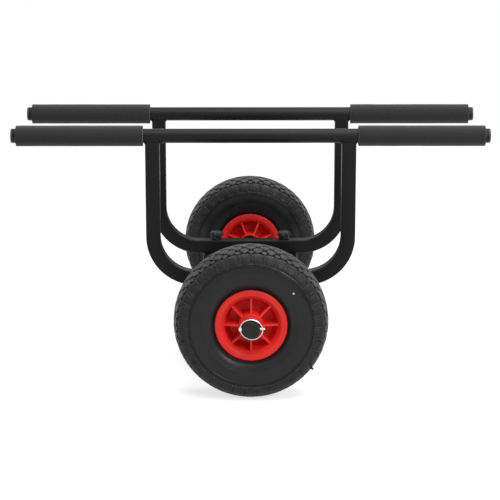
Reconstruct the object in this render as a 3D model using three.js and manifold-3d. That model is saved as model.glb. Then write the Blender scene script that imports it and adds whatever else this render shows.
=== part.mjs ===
// Kayak cart. Two foam padded bars on bent square tube frames stand on a base
// with one axle and two pneumatic wheels. The frames slide apart on the base's
// slotted rails and are clamped by star knobs. Linch pins hold the wheels.
//
// Millimetres. +X is the way the cart rolls, +Y its left side, +Z up, and the
// ground is at Z zero, below the middle of the axle.

import * as THREE from 'three';
import { mergeGeometries, mergeVertices } from 'three/addons/utils/BufferGeometryUtils.js';
import Module from 'manifold-3d';

const wasm = await Module();
wasm.setup();

// Clearances and cutting
const clearance = 0.3; // between pieces that touch, slide or turn on each other
const overrun = 2; // how far a cutter reaches past what it cuts
const finePoint = 0.0001; // vertices nearer than this are one

// Wheels
const tyreRadius = 130; // centre to the tread's flat on the ground
const tyreWidth = 85; // across the side walls
const wheelSpacing = 610; // between the two tyres' middle planes
const beadThickness = 8.5; // along the axle, inside the rim's flange

// Tread, in shares of its pitch and of the way from the crown's middle to the side wall
const rowSpacingShare = 0.202;
const blockWidthShare = 0.775; // of a pitch, round the tyre
const blockLengthShare = 1.565; // of the rows' spacing, because the rows interlock
const blockDraft = 0.7; // how far a block's foot spreads past its top
const grooveDepth = 3.6;
const ridgeWidthShare = 0.51; // of a pitch, for the short ridges beside the blocks
const ridgeEndShare = 0.584; // where they run out
const shoulderDepth = 1.1;

// Rims
const flangeDiameter = 123.2;
const rimWidth = 71; // between the outer faces of the flanges
const flangeThickness = 4.5;
const beadSeatDiameter = 106;
const beadSeatWidth = 11;
const wellDiameter = 92; // the drop centre between the bead seats
const wellSlope = 6; // along the axle, from bead seat to well
const dishMouthDiameter = 100; // where the flange's face ends
const dishStepDiameter = 93.2; // where the ribs meet the dish
const dishStepDepth = 6; // below the flange's face
const dishFloorDiameter = 80;
const webThickness = 5;
const bossDiameter = 41.6;
const bossLength = 88;
const bossBore = 36.6;
const ribCount = 8;
const ribThickness = 3.5;
const ribRootDepth = 1.2; // how far a rib runs into the boss and the dish wall

// Inner tube and valve
const innerTubeWall = 2;
const valveStemDiameter = 5.2;
const valveBaseDiameter = 8;
const valveBaseLength = 11;
const valveStemLength = 21; // from the tube's skin to the stem's tip
const valveOffset = 9; // from the wheel's middle plane towards the cart's middle
const valveCapDiameter = 8;
const valveCapLength = 9;
const valveTurn = Math.PI / ribCount; // midway between two ribs
const leftWheelTurn = Math.PI / ribCount; // the left wheel has stopped this much further on

// Axle
const axleDiameter = 30;
const axleWall = 2.5;
const axleCapThickness = 3;
const axleCapEdge = 1.2;
const axleCapInsertLength = 14;
const bushLength = 25;
const bushFlangeDiameter = 37;
const bushFlangeThickness = 1.6;
const collarDiameter = 42;
const collarThickness = 5;
const washerDiameter = 36;
const washerThickness = 2.4;

// Linch pins
const pinDiameter = 4.5;
const pinInset = 6; // from the axle tube's end to the pin's centre line
const pinPlay = 3.65; // between the washer and the pin, where the leaning ring swings
const pinTipReach = 23.4; // from the axle's centre line to the pin's tip
const pinTipTaper = 2.5;
const pinHeadLength = 5;
const pinHeadWidth = 6;
const ringWireDiameter = 2.4;
const ringDiameter = 37; // to the middle of the wire
const ringLean = 13.6 * (Math.PI / 180); // its top leans away from the wheel
const ringHoleSlack = 0.6; // room for the curved wire in the pin's head

// Base rails and axle plates
const railSpacing = 128; // between the two rails' middles, and the bolts
const railWidth = 50;
const railHeight = 25;
const railWall = 2;
const railCorner = 3;
const railEndWeb = 13.7; // metal beyond each slot
const railDrop = 7.3; // the rails' underside below the axle's centre line
const railPlugThickness = 3;
const railPlugDepth = 12;
const slideTravel = 50; // each frame slides this far in and out from its middle place
const plateThickness = 6;
const plateInset = 37; // from each rail's end to the axle plate's middle
const plateLip = 8; // metal left round the axle below its hole
const plateTopDrop = 1; // the plates' top below the rails' top

// Bent frames
const frameWidth = 368; // outside, across the two legs
const squareTube = 25;
const squareTubeWall = 2;
const squareTubeCorner = 2.5;
const bendRadius = 87.5; // on the outside of the bend
const barSpacing = 250; // between the two bars, at the middle of the slides
const barRise = 266; // from a bottom member's underside to its bar's centre line
const weldDrop = 6.3; // the legs' tops below the bar's centre line
const weldRadius = 1.8;

// Bars and foam
const barDiameter = 25;
const barWall = 1.5;
const barTubeLength = 829.4;
const barCapThickness = 3;
const barCapEdge = 1.5;
const barCapInsertLength = 16;
const sleeveDiameter = 36.5;
const sleeveEdge = 1.2;
const sleeveInset = 6; // bare tube outside each sleeve
const sleeveGap = 3.7; // bare tube between each sleeve and the frame's leg

// Clamp bolts and knobs
const boltDiameter = 8;
const boltHeadDiameter = 18;
const boltHeadHeight = 4.2;
const boltNeckLength = 5;
const boltEngagement = 10; // thread inside the knob
const boltTipTaper = 1;
const knobWasherDiameter = 17;
const knobWasherThickness = 1.5;
const knobHubDiameter = 19;
const knobHubHeight = 5;
const knobHeadDiameter = 26.5;
const knobHeadHeight = 10.2;
const knobLobes = 7;
const knobLobeDepth = 2.6;
const knobEdge = 1.6;
const knobBoreSlack = 1.5; // bore left above the bolt's tip

// Facet counts
const wheelSteps = 35; // also the tread's pitches
const rimSteps = 24;
const innerTubeSteps = 16;
const roundSteps = 20;
const smallSteps = 12;
const wireSteps = 6;
const bendSteps = 6;
const cornerSteps = 1;
const lobeSteps = 4;

// Heights and places that follow from the sizes above
const axleHeight = tyreRadius;
const railBottom = axleHeight - railDrop;
const railTop = railBottom + railHeight;
const memberBottom = railTop + clearance;
const memberTop = memberBottom + squareTube;
const barHeight = memberBottom + barRise;
const legX = frameWidth / 2 - squareTube / 2;
const slotWidth = boltDiameter + 2 * clearance;
const slotReach = slideTravel + boltDiameter / 2; // straight walls beside the bolt's square neck
const railEnd = barSpacing / 2 + slotReach + slotWidth / 2 + railEndWeb;
const bushEnd = bossLength / 2 + clearance + bushFlangeThickness; // from the wheel's middle
const washerEnd = wheelSpacing / 2 + bushEnd + clearance + washerThickness;
const pinY = washerEnd + pinPlay + pinDiameter / 2;
const axleTubeEnd = pinY + pinInset;
const hingeX = -(axleDiameter / 2 + clearance + pinHeadLength / 2);
const sleeveOuterEnd = barTubeLength / 2 - sleeveInset;
const sleeveInnerEnd = frameWidth / 2 + sleeveGap;

// The tyre's section: [share of its height above the bead seat, share of half its width]
const tyreOuterShares = [
  [1, 0.24],
  [0.965, 0.56],
  [0.885, 0.83],
  [0.64, 0.985],
  [0.36, 1],
  [0.15, 0.88],
];
const tyreInnerShares = [
  [0.18, 0.74],
  [0.58, 0.88],
  [0.905, 0.25],
];
const treadEndPoint = 3; // the outer point where the tread meets the side wall
const blockRowNumbers = [-2, -1, 0, 1, 2]; // rows of blocks, counted from the crown's middle
const ridgeRow = 3; // the ridges' tips are where this row's blocks would begin

const sides = [
  { name: 'left', sign: 1 },
  { name: 'right', sign: -1 },
];
const ends = [
  { name: 'front', sign: 1 },
  { name: 'rear', sign: -1 },
];

// Finishes
const blackPaint = () => finish(0x242426, 0.38, 0.3);
const blackFoam = () => finish(0x2b2b2c, 0.95, 0);
const blackRubber = () => finish(0x29292b, 0.8, 0);
const blackPlastic = () => finish(0x1d1d1f, 0.5, 0);
const redPlastic = () => finish(0xd8322e, 0.42, 0);
const zincSteel = () => finish(0xd9d9dc, 0.25, 1);
const brass = () => finish(0xb99a58, 0.3, 1);

function finish(color, roughness, metalness) {
  return new THREE.MeshStandardMaterial({ color, roughness, metalness });
}

// Joining and cutting closed solids

function solidOf(geometry) {
  const bare = geometry.clone();
  bare.deleteAttribute('normal');
  bare.deleteAttribute('uv');
  const merged = mergeVertices(bare, finePoint);
  const corners = merged.index.array;
  const kept = [];
  for (let i = 0; i < corners.length; i += 3) {
    const [a, b, c] = [corners[i], corners[i + 1], corners[i + 2]];
    if (a !== b && b !== c && c !== a) kept.push(a, b, c);
  }
  const mesh = new wasm.Mesh({
    numProp: 3,
    vertProperties: new Float32Array(merged.attributes.position.array),
    triVerts: new Uint32Array(kept),
  });
  mesh.merge();
  return new wasm.Manifold(mesh);
}

function geometryOf(solid) {
  const mesh = solid.getMesh();
  const geometry = new THREE.BufferGeometry();
  geometry.setAttribute('position', new THREE.BufferAttribute(new Float32Array(mesh.vertProperties), 3));
  geometry.setIndex(new THREE.BufferAttribute(new Uint32Array(mesh.triVerts), 1));
  geometry.computeVertexNormals();
  return geometry;
}

function join(...geometries) {
  const solids = geometries.map(solidOf);
  return geometryOf(solids.reduce((whole, next) => whole.add(next)));
}

function cut(geometry, ...tools) {
  const solids = tools.map(solidOf);
  return geometryOf(solids.reduce((whole, tool) => whole.subtract(tool), solidOf(geometry)));
}

// Basic forms. Turned pieces are made round Y and then laid along X or Z

function alongX(geometry) {
  return geometry.rotateZ(-Math.PI / 2);
}

function alongZ(geometry) {
  return geometry.rotateX(Math.PI / 2);
}

function turned(outline, steps) {
  return new THREE.LatheGeometry(outline.map(([r, y]) => new THREE.Vector2(r, y)), steps);
}

function rod(diameter, length, steps) {
  return new THREE.CylinderGeometry(diameter / 2, diameter / 2, length, steps);
}

// The corner radius of a bore whose flats clear a shaft of this diameter
function boreRadius(shaftDiameter, steps) {
  return (shaftDiameter / 2 + clearance) / Math.cos(Math.PI / steps);
}

// A ring round Y with chamfered outer edges, centred on the middle plane
function ring(innerRadius, outerRadius, length, edge, steps) {
  const half = length / 2;
  return turned([
    [innerRadius, -half],
    [outerRadius - edge, -half],
    [outerRadius, -half + edge],
    [outerRadius, half - edge],
    [outerRadius - edge, half],
    [innerRadius, half],
    [innerRadius, -half],
  ], steps);
}

// A plain ring round Y, standing on the XZ plane
function washer(innerRadius, outerRadius, thickness, steps) {
  return turned([
    [innerRadius, 0],
    [outerRadius, 0],
    [outerRadius, thickness],
    [innerRadius, thickness],
    [innerRadius, 0],
  ], steps);
}

function roundedRectangle(width, height, corner) {
  const [x, y] = [width / 2 - corner, height / 2 - corner];
  const shape = new THREE.Shape();
  shape.moveTo(width / 2, -y);
  shape.lineTo(width / 2, y);
  shape.absarc(x, y, corner, 0, Math.PI / 2, false);
  shape.absarc(-x, y, corner, Math.PI / 2, Math.PI, false);
  shape.absarc(-x, -y, corner, Math.PI, 1.5 * Math.PI, false);
  shape.absarc(x, -y, corner, 1.5 * Math.PI, 2 * Math.PI, false);
  return shape;
}

// An outline in X and Z, extruded along Y and centred there
function extrudedAlongY(shape, depth, steps, edge = 0) {
  const geometry = new THREE.ExtrudeGeometry(shape, {
    depth: depth - 2 * edge,
    curveSegments: steps,
    bevelEnabled: edge > 0,
    bevelThickness: edge,
    bevelSize: edge,
    bevelOffset: -edge,
    bevelSegments: cornerSteps,
  });
  geometry.translate(0, 0, edge - depth / 2);
  return geometry.rotateX(Math.PI / 2);
}

// Wheel parts, round Y with the wheel's middle plane at Y zero

function mirroredLoop(half) {
  const other = half.map(([r, y]) => [r, -y]).reverse();
  const loop = [...other, ...half];
  return [...loop, loop[0]];
}

function tyreSection() {
  const seat = beadSeatDiameter / 2 + clearance;
  const height = tyreRadius - seat;
  const placed = ([up, out]) => [seat + up * height, (out * tyreWidth) / 2];
  const beadOuter = rimWidth / 2 - flangeThickness - clearance;
  const beadTop = flangeDiameter / 2 + clearance;
  return {
    outer: tyreOuterShares.map(placed),
    bead: [[beadTop, beadOuter], [seat, beadOuter], [seat, beadOuter - beadThickness]],
    inner: tyreInnerShares.map(placed),
  };
}

// Side walls, beads and the inside, from one edge of the tread round to the other
function carcassGeometry() {
  const { outer, bead, inner } = tyreSection();
  const half = [...outer.slice(treadEndPoint), ...bead, ...inner];
  const widen = 1 / Math.cos(Math.PI / wheelSteps);
  const other = half.map(([r, y]) => [r, -y]).reverse();
  const strip = [...half, ...other].map(([r, y]) => [r * widen, y]);
  return turned(strip, wheelSteps);
}

// The outside's line from the crown's middle to the side wall
function treadPath() {
  const outer = tyreSection().outer.slice(0, treadEndPoint + 1);
  return new THREE.Path([[tyreRadius, 0], ...outer].map(([r, y]) => new THREE.Vector2(r, y)));
}

// A place that far round and across, and that deep below the outside. The facets' middles, half
// a pitch on, have the full radius
function onTread(path, [round, across, depth]) {
  const share = Math.abs(across) / path.getLength();
  const point = path.getPoint(share);
  const along = path.getTangent(share);
  const step = (2 * Math.PI) / wheelSteps;
  const pitches = round / treadPitch();
  const fromMiddle = pitches - Math.floor(pitches) - 0.5;
  const radius = (point.x - depth * along.y) / Math.cos(fromMiddle * step);
  const y = Math.sign(across) * (point.y + depth * along.x);
  return new THREE.Vector3(radius * Math.sin(pitches * step), y, radius * Math.cos(pitches * step));
}

function treadPitch() {
  return (2 * Math.PI * tyreRadius) / wheelSteps;
}

// One block's corners, counterclockwise, each as [round, across, depth]. Odd rows, the middle
// one's neighbours, stand half a pitch on from it
function blockOutline(row, reach, spread, depth) {
  const round = row % 2 === 0 ? treadPitch() / 2 : 0;
  const across = row * rowSpacingShare * reach;
  const halfWidth = (blockWidthShare * treadPitch()) / 2 + spread;
  const halfLength = (blockLengthShare * rowSpacingShare * reach) / 2 + spread;
  return [
    [round, across - halfLength, depth],
    [round + halfWidth, across, depth],
    [round, across + halfLength, depth],
    [round - halfWidth, across, depth],
  ];
}

// A ridge rises from the shoulder to a tip between two blocks: its tip and its two low corners
function ridgeOutline(side, reach, spread, depth) {
  const tip = blockOutline(side * ridgeRow, reach, spread, depth)[side > 0 ? 0 : 2];
  const halfWidth = (ridgeWidthShare * treadPitch()) / 2;
  const end = side * ridgeEndShare * reach;
  return [tip, [side * halfWidth, end, shoulderDepth], [-side * halfWidth, end, shoulderDepth]];
}

function fan(corners) {
  return corners.slice(2).map((corner, i) => [corners[0], corners[i + 1], corner]);
}

// A block's top and walls as triangles
function blockTriangles(top, foot) {
  const walls = top.flatMap((corner, i) => {
    const next = (i + 1) % top.length;
    return fan([foot[i], foot[next], top[next], corner]);
  });
  return [[top[0], top[1], top[3]], [top[1], top[2], top[3]], ...walls];
}

function ridgeTriangles([tip, second, third], foot) {
  return [[tip, second, third], [foot[0], second, tip], [third, foot[0], tip]];
}

// The floor between the feet of the blocks and ridges, which it shares with the next pitches
function floorTriangles(feet, ridges, reach) {
  const pitch = treadPitch();
  const moved = ([round, across, depth], pitches) => [round + pitches * pitch, across, depth];
  const [low, high] = ridges;
  const nearSide = [feet[0], feet[2], feet[4]].flatMap(([bottom, , top, left]) => [bottom, left, top]);
  const farSide = [feet[4], feet[2], feet[0]].flatMap(([bottom, right, top]) => [top, right, bottom]);
  const outline = [
    low[1], low[0], low[2], moved(low[1], 1),
    ...nearSide,
    moved(high[2], 1), high[1], high[0], high[2],
    ...farSide.map((corner) => moved(corner, -1)),
  ];
  const holes = [feet[1], feet[3]];
  const corners = [outline, ...holes].flat();
  const flat = (list) => list.map(([round, across]) => new THREE.Vector2(round, across));
  const faces = THREE.ShapeUtils.triangulateShape(flat(outline), holes.map(flat));
  const edge = (round, side) => [round * pitch, side * reach, 0];
  return [
    ...faces.map((face) => face.map((i) => corners[i])),
    ...fan([low[2], low[1], edge(0, -1), edge(1, -1), moved(low[1], 1)]),
    ...fan([high[1], moved(high[2], 1), edge(1, 1), edge(0, 1), high[2]]),
  ];
}

function treadGeometry() {
  const path = treadPath();
  const reach = path.getLength();
  const feet = blockRowNumbers.map((row) => blockOutline(row, reach, blockDraft, grooveDepth));
  const blocks = blockRowNumbers.flatMap((row, i) => blockTriangles(blockOutline(row, reach, 0, 0), feet[i]));
  const ridgeFeet = [-1, 1].map((side) => ridgeOutline(side, reach, blockDraft, grooveDepth));
  const ridges = [-1, 1].flatMap((side, i) => ridgeTriangles(ridgeOutline(side, reach, 0, 0), ridgeFeet[i]));
  const triangles = [...blocks, ...ridges, ...floorTriangles(feet, ridgeFeet, reach)];
  const points = triangles.flat().map((corner) => onTread(path, corner));
  const geometry = new THREE.BufferGeometry().setFromPoints(points);
  const turns = Array.from({ length: wheelSteps }, (_, i) => (2 * Math.PI * i) / wheelSteps);
  return mergeGeometries(turns.map((turn) => geometry.clone().rotateY(turn)));
}

function tyreGeometry() {
  const carcass = carcassGeometry().toNonIndexed();
  carcass.deleteAttribute('normal');
  carcass.deleteAttribute('uv');
  return geometryOf(solidOf(mergeGeometries([carcass, treadGeometry()])));
}

function rimProfile() {
  const face = rimWidth / 2;
  const flangeBack = face - flangeThickness;
  const seatEnd = flangeBack - beadSeatWidth;
  return [
    [wellDiameter / 2, seatEnd - wellSlope],
    [beadSeatDiameter / 2, seatEnd],
    [beadSeatDiameter / 2, flangeBack],
    [flangeDiameter / 2, flangeBack],
    [flangeDiameter / 2, face],
    [dishMouthDiameter / 2, face],
    [dishStepDiameter / 2, face - dishStepDepth],
    [dishFloorDiameter / 2, webThickness / 2],
    [bossDiameter / 2, webThickness / 2],
    [bossDiameter / 2, bossLength / 2],
    [bossBore / 2, bossLength / 2],
  ];
}

function ribGeometry() {
  const root = bossDiameter / 2 - ribRootDepth;
  const face = rimWidth / 2;
  const step = face - dishStepDepth;
  const shape = new THREE.Shape([
    new THREE.Vector2(root, -face),
    new THREE.Vector2(dishStepDiameter / 2 + ribRootDepth, -step),
    new THREE.Vector2(dishFloorDiameter / 2 + ribRootDepth, 0),
    new THREE.Vector2(dishStepDiameter / 2 + ribRootDepth, step),
    new THREE.Vector2(root, face),
  ]);
  const geometry = new THREE.ExtrudeGeometry(shape, { depth: ribThickness, bevelEnabled: false });
  return geometry.translate(0, 0, -ribThickness / 2);
}

// A radial line through the valve, as a tool or a piece along +X turned into place
function atValve(geometry, side) {
  return geometry.translate(0, -side * valveOffset, 0).rotateY(valveTurn);
}

function valveRod(diameter, start, end) {
  return alongX(rod(diameter, end - start, smallSteps)).translate((start + end) / 2, 0, 0);
}

function rimGeometry(side) {
  const half = rimProfile();
  let rim = turned(mirroredLoop(half), rimSteps);
  for (let i = 0; i < ribCount; i += 1) {
    rim = join(rim, ribGeometry().rotateY((2 * Math.PI * i) / ribCount));
  }
  const valveHole = valveRod(valveBaseDiameter + 2 * clearance, bossDiameter / 2, flangeDiameter / 2);
  return cut(rim, atValve(valveHole, side));
}

// The tube fills the room between the tyre and the rim's well
function innerTubeSection(inset) {
  const { inner } = tyreSection();
  const reach = clearance + inset;
  const widen = 1 / Math.cos(Math.PI / innerTubeSteps);
  const low = wellDiameter / 2 + reach;
  const crown = inner[inner.length - 1];
  const middle = (low + crown[0]) / 2;
  const half = inner.map(([r, y]) => [r + Math.sign(middle - r) * reach, y - reach - clearance]);
  const seatEnd = rimWidth / 2 - flangeThickness - beadSeatWidth;
  return [
    ...half.reverse(),
    [(beadSeatDiameter / 2 + reach) * widen, seatEnd - reach],
    [low * widen, seatEnd - wellSlope - reach],
  ];
}

function innerTubeGeometry(side) {
  const skin = turned(mirroredLoop(innerTubeSection(clearance)), innerTubeSteps);
  const room = turned(mirroredLoop(innerTubeSection(clearance + innerTubeWall)), innerTubeSteps);
  const airwayEnd = wellDiameter / 2 + innerTubeWall + 2 * clearance + overrun;
  const airway = valveRod(valveStemDiameter, bossDiameter / 2, airwayEnd);
  return cut(skin, room, atValve(airway, side));
}

// The stem starts just inside the flats of the inner tube's skin
function valveRoot() {
  return wellDiameter / 2 + clearance;
}

function valveStemGeometry(side) {
  const root = valveRoot();
  const stem = turned([
    [0, 0],
    [valveBaseDiameter / 2, 0],
    [valveBaseDiameter / 2, valveBaseLength],
    [valveStemDiameter / 2, valveBaseLength],
    [valveStemDiameter / 2, valveStemLength],
    [0, valveStemLength],
  ], smallSteps);
  return atValve(stem.rotateZ(Math.PI / 2).translate(root, 0, 0), side);
}

function valveCapGeometry(side) {
  const bore = boreRadius(valveStemDiameter, smallSteps);
  const start = valveBaseLength + clearance;
  const tip = valveStemLength + clearance;
  const cap = turned([
    [bore, start],
    [valveCapDiameter / 2, start],
    [valveCapDiameter / 2, start + valveCapLength],
    [valveStemDiameter / 2, tip + innerTubeWall],
    [0, tip + innerTubeWall],
    [0, tip],
    [bore, tip],
    [bore, start],
  ], smallSteps);
  return atValve(cap.rotateZ(Math.PI / 2).translate(valveRoot(), 0, 0), side);
}

// A flanged bush; its flange lies against the boss's end and the sleeve points to -Y
function bushGeometry() {
  const bore = boreRadius(axleDiameter, roundSteps);
  const sleeve = bossBore / 2 - clearance;
  return turned([
    [bore, -bushLength],
    [sleeve, -bushLength],
    [sleeve, clearance],
    [bushFlangeDiameter / 2, clearance],
    [bushFlangeDiameter / 2, clearance + bushFlangeThickness],
    [bore, clearance + bushFlangeThickness],
    [bore, -bushLength],
  ], roundSteps);
}

// Axle parts, round Y

function axleGeometry() {
  const tube = turned([
    [axleDiameter / 2 - axleWall, -axleTubeEnd],
    [axleDiameter / 2, -axleTubeEnd],
    [axleDiameter / 2, axleTubeEnd],
    [axleDiameter / 2 - axleWall, axleTubeEnd],
    [axleDiameter / 2 - axleWall, -axleTubeEnd],
  ], roundSteps);
  const holes = sides.map(({ sign }) => pinHole().translate(0, sign * pinY, 0));
  return cut(tube, ...holes);
}

function pinHole() {
  return alongX(rod(pinDiameter + 2 * clearance, axleDiameter + 2 * overrun, smallSteps));
}

// The cap's flange stands on Y zero and its insert points to -Y
function axleCapGeometry() {
  const insert = axleDiameter / 2 - axleWall - clearance * 2;
  const cap = turned([
    [0, -axleCapInsertLength],
    [insert, -axleCapInsertLength],
    [insert, 0],
    [axleDiameter / 2, 0],
    [axleDiameter / 2, axleCapThickness - axleCapEdge],
    [axleDiameter / 2 - axleCapEdge, axleCapThickness],
    [0, axleCapThickness],
  ], roundSteps);
  return cut(cap, pinHole().translate(0, -pinInset, 0));
}

// Linch pin along X with its head on the -X side; the ring's hole leans with the ring
function linchPinGeometry(side) {
  const shaftStart = hingeX - pinHeadLength / 2 + overrun;
  const shaft = turned([
    [0, shaftStart],
    [pinDiameter / 2, shaftStart],
    [pinDiameter / 2, pinTipReach - pinTipTaper],
    [pinDiameter / 4, pinTipReach],
    [0, pinTipReach],
  ], smallSteps);
  const head = new THREE.BoxGeometry(pinHeadLength, pinHeadWidth, pinHeadWidth);
  head.translate(hingeX, 0, 0);
  const holeDiameter = ringWireDiameter + 2 * ringHoleSlack;
  const hole = alongZ(rod(holeDiameter, pinHeadWidth + 2 * overrun, smallSteps));
  hole.rotateX(-side * ringLean).translate(hingeX, 0, 0);
  return cut(join(alongX(shaft.rotateY(Math.PI / smallSteps)), head), hole);
}

// The ring's far side rests on the outer side of the pin's shaft
function ringGeometry() {
  const radius = ringDiameter / 2;
  const torus = new THREE.TorusGeometry(radius, ringWireDiameter / 2, wireSteps, roundSteps);
  return alongZ(torus).translate(radius, 0, 0);
}

function ringRestAngle() {
  const standOff = pinDiameter / 2 + ringWireDiameter / 2 + clearance;
  return Math.asin(standOff / ringDiameter);
}

// Base parts

function slotCutter(side) {
  const radius = slotWidth / 2;
  const middle = (side * barSpacing) / 2;
  const shape = new THREE.Shape();
  shape.moveTo(radius, middle - slotReach);
  shape.lineTo(radius, middle + slotReach);
  shape.absarc(0, middle + slotReach, radius, 0, Math.PI, false);
  shape.lineTo(-radius, middle - slotReach);
  shape.absarc(0, middle - slotReach, radius, Math.PI, 2 * Math.PI, false);
  const depth = railHeight + 2 * overrun;
  const tool = new THREE.ExtrudeGeometry(shape, { depth, curveSegments: bendSteps, bevelEnabled: false });
  return tool.translate(0, 0, -depth / 2);
}

function railGeometry() {
  const outer = extrudedAlongY(roundedRectangle(railWidth, railHeight, railCorner), 2 * railEnd, cornerSteps);
  const [width, height] = [railWidth - 2 * railWall, railHeight - 2 * railWall];
  const hollow = extrudedAlongY(
    roundedRectangle(width, height, railCorner - railWall), 2 * (railEnd + overrun), cornerSteps);
  return cut(outer, hollow, ...sides.map(({ sign }) => slotCutter(sign)));
}

// The plug's plate stands on Y zero and its block points to -Y
function railPlugGeometry() {
  const outline = roundedRectangle(railWidth, railHeight, railCorner);
  const plate = extrudedAlongY(outline, railPlugThickness, cornerSteps);
  plate.translate(0, railPlugThickness / 2, 0);
  const [width, height] = [railWidth - 2 * railWall, railHeight - 2 * railWall];
  const depth = railPlugDepth + railPlugThickness / 2;
  const block = new THREE.BoxGeometry(width - 2 * clearance, depth, height - 2 * clearance);
  block.translate(0, railPlugThickness / 2 - depth / 2, 0);
  return join(plate, block);
}

// A plate between the rails with the axle through it, its origin on the axle
function axlePlateGeometry() {
  const half = (railSpacing - railWidth) / 2;
  const radius = axleDiameter / 2 + plateLip;
  const top = railTop - plateTopDrop - axleHeight;
  const dip = Math.asin(railDrop / radius);
  const shape = new THREE.Shape();
  shape.moveTo(half, -railDrop);
  shape.lineTo(half, top);
  shape.lineTo(-half, top);
  shape.lineTo(-half, -railDrop);
  shape.absarc(0, 0, radius, Math.PI + dip, 2 * Math.PI - dip, false);
  const hole = rod(2 * boreRadius(axleDiameter, roundSteps), plateThickness + 2 * overrun, roundSteps);
  return cut(extrudedAlongY(shape, plateThickness, bendSteps), hole);
}

// Bent frame, with its origin on the bottom member's underside

function frameOutline(inset) {
  const outer = frameWidth / 2 - inset;
  const inner = frameWidth / 2 - squareTube + inset;
  const outerBend = bendRadius - inset;
  const innerBend = bendRadius - squareTube + inset;
  const bendX = frameWidth / 2 - bendRadius;
  const top = barRise + overrun;
  const shape = new THREE.Shape();
  shape.moveTo(-outer, top);
  shape.lineTo(-outer, bendRadius);
  shape.absarc(-bendX, bendRadius, outerBend, Math.PI, 1.5 * Math.PI, false);
  shape.absarc(bendX, bendRadius, outerBend, 1.5 * Math.PI, 2 * Math.PI, false);
  shape.lineTo(outer, top);
  shape.lineTo(inner, top);
  shape.lineTo(inner, bendRadius);
  shape.absarc(bendX, bendRadius, innerBend, 2 * Math.PI, 1.5 * Math.PI, true);
  shape.absarc(-bendX, bendRadius, innerBend, 1.5 * Math.PI, Math.PI, true);
  shape.lineTo(-inner, top);
  return shape;
}

function weldBeads() {
  const beads = [];
  for (const end of ends) {
    for (const side of sides) {
      const bead = alongX(rod(2 * weldRadius, squareTube, wireSteps));
      const y = side.sign * (squareTube / 2 - weldRadius / 2);
      beads.push(bead.translate(end.sign * legX, y, barRise - weldDrop));
    }
  }
  return beads;
}

function frameGeometry() {
  const tube = extrudedAlongY(frameOutline(0), squareTube, bendSteps, squareTubeCorner);
  const hollow = extrudedAlongY(frameOutline(squareTubeWall), squareTube - 2 * squareTubeWall, bendSteps);
  const legTop = barRise - weldDrop;
  const above = new THREE.BoxGeometry(frameWidth + 2 * overrun, squareTube + 2 * overrun, squareTube);
  above.translate(0, 0, legTop + squareTube / 2);
  const bar = alongX(rod(barDiameter + 2 * clearance, frameWidth + 2 * overrun, roundSteps));
  bar.translate(0, 0, barRise);
  const boltHoles = ends.map(({ sign }) => {
    const hole = alongZ(rod(slotWidth, squareTube + 2 * overrun, smallSteps));
    return hole.translate((sign * railSpacing) / 2, 0, squareTube / 2);
  });
  return cut(join(cut(tube, hollow, above), ...weldBeads()), bar, ...boltHoles);
}

// Bars, sleeves and caps along X

function barGeometry() {
  const half = barTubeLength / 2;
  return alongX(turned([
    [barDiameter / 2 - barWall, -half],
    [barDiameter / 2, -half],
    [barDiameter / 2, half],
    [barDiameter / 2 - barWall, half],
    [barDiameter / 2 - barWall, -half],
  ], roundSteps));
}

function sleeveGeometry() {
  const bore = boreRadius(barDiameter, roundSteps);
  return alongX(ring(bore, sleeveDiameter / 2, sleeveOuterEnd - sleeveInnerEnd, sleeveEdge, roundSteps));
}

// The cap's flange stands on X zero and its insert points to -X
function barCapGeometry() {
  const insert = barDiameter / 2 - barWall - clearance;
  return alongX(turned([
    [0, -barCapInsertLength],
    [insert * Math.cos(Math.PI / smallSteps), -barCapInsertLength],
    [insert * Math.cos(Math.PI / smallSteps), 0],
    [barDiameter / 2, 0],
    [barDiameter / 2, barCapThickness - barCapEdge],
    [barDiameter / 2 - barCapEdge, barCapThickness],
    [0, barCapThickness],
  ], smallSteps));
}

// Clamp bolt, washer and knob along Z

// The bolt's head bears on the rails' underside, at the bolt's Z zero
function boltGeometry() {
  const tip = railHeight + squareTube + knobWasherThickness + boltEngagement + 3 * clearance;
  const turnedBolt = alongZ(turned([
    [0, -boltHeadHeight],
    [boltHeadDiameter / 4, -boltHeadHeight],
    [boltHeadDiameter / 2, -boltHeadHeight / 3],
    [boltHeadDiameter / 2, 0],
    [boltDiameter / 2, 0],
    [boltDiameter / 2, tip - boltTipTaper],
    [boltDiameter / 2 - boltTipTaper, tip],
    [0, tip],
  ], smallSteps));
  const neck = new THREE.BoxGeometry(boltDiameter, boltDiameter, boltNeckLength + boltHeadHeight / 3);
  neck.translate(0, 0, (boltNeckLength - boltHeadHeight / 3) / 2);
  return join(turnedBolt, neck);
}

function knobWasherGeometry() {
  const bore = boreRadius(boltDiameter, smallSteps);
  return alongZ(washer(bore, knobWasherDiameter / 2, knobWasherThickness, smallSteps));
}

function knobOutline() {
  const count = knobLobes * lobeSteps;
  const points = [];
  for (let i = 0; i < count; i += 1) {
    const angle = (2 * Math.PI * i) / count;
    const dip = (knobLobeDepth * (1 - Math.cos(knobLobes * angle))) / 2;
    const radius = knobHeadDiameter / 2 - dip;
    points.push(new THREE.Vector2(radius * Math.cos(angle), radius * Math.sin(angle)));
  }
  return new THREE.Shape(points);
}

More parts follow.
